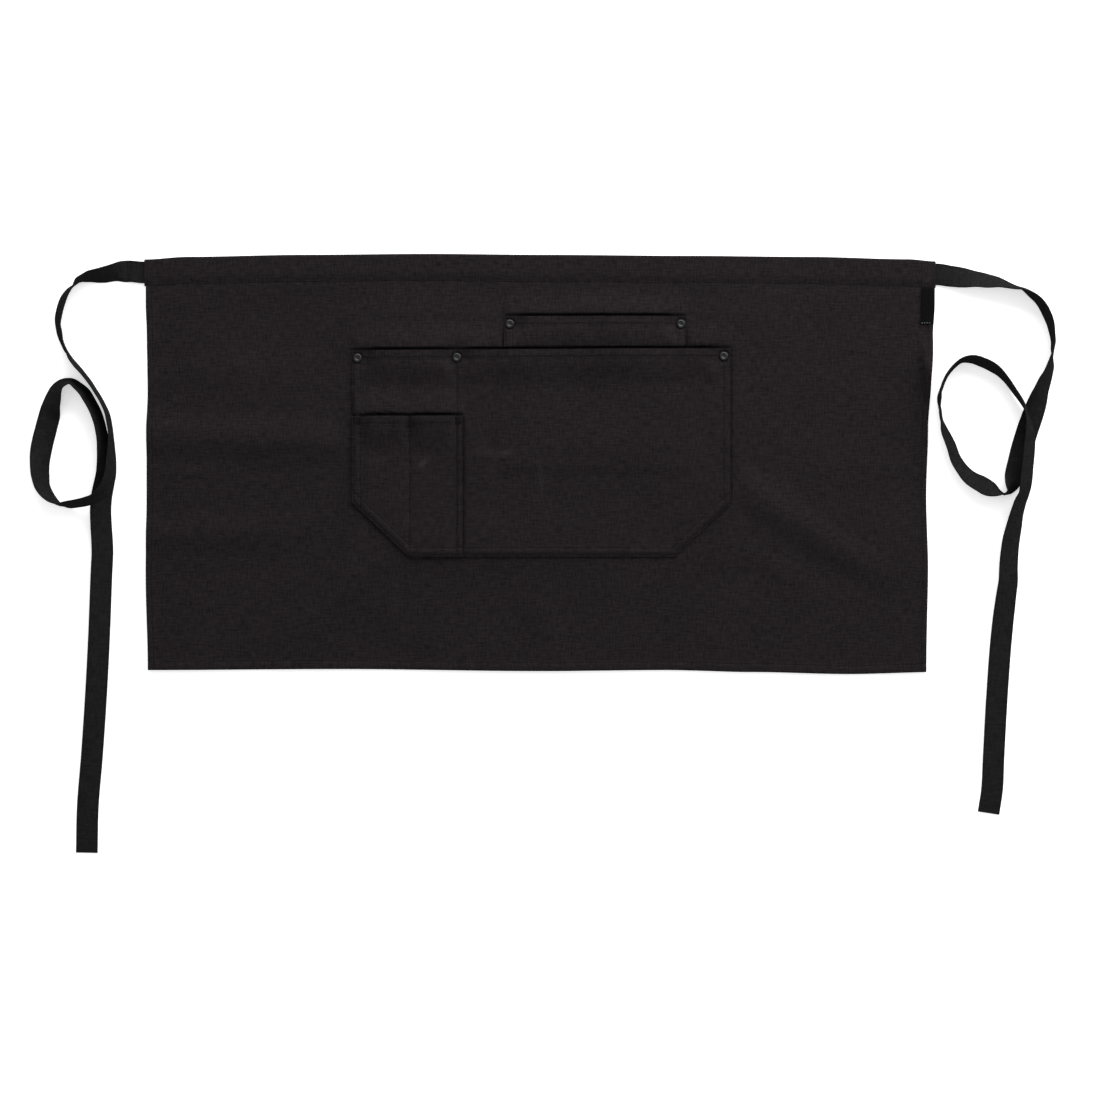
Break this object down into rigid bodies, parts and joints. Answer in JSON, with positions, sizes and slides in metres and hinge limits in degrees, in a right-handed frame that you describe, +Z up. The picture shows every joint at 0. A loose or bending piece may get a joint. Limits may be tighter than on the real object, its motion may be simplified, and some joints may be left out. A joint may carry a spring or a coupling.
{
  "type": "waist apron",
  "caption": "Waist apron laid flat: cloth panel with hems, folded waistband, riveted patch pockets, pen pocket and two loose ties.",
  "frame": {"origin": "on the table under the middle of the laid-out apron's bounding box", "axes": "+X along the waistband to the picture's right, +Y from the hem towards the waistband, +Z up from the table"},
  "size_m": [1.034, 0.6062, 0.0331],
  "materials": {
    "twill": "black polyester and cotton twill, matt, faintly warm, double stitched hems and pockets",
    "tie_tape": "black twill strip folded and stitched, matt",
    "label": "plain black woven satin tape, no lettering",
    "gunmetal": "gunmetal plated domed rivet cap with a dimple"
  },
  "bodies": {
    "root": {"apron_panel": "twill", "waistband": "twill", "upper_pocket": "twill", "main_pocket": "twill", "pen_pocket": "twill", "rivet_main_left": "gunmetal", "rivet_main_middle": "gunmetal", "rivet_main_right": "gunmetal", "rivet_upper_left": "gunmetal", "rivet_upper_right": "gunmetal", "side_label": "label", "tie_left": "tie_tape", "tie_right": "tie_tape"}
  },
  "joints": []
}
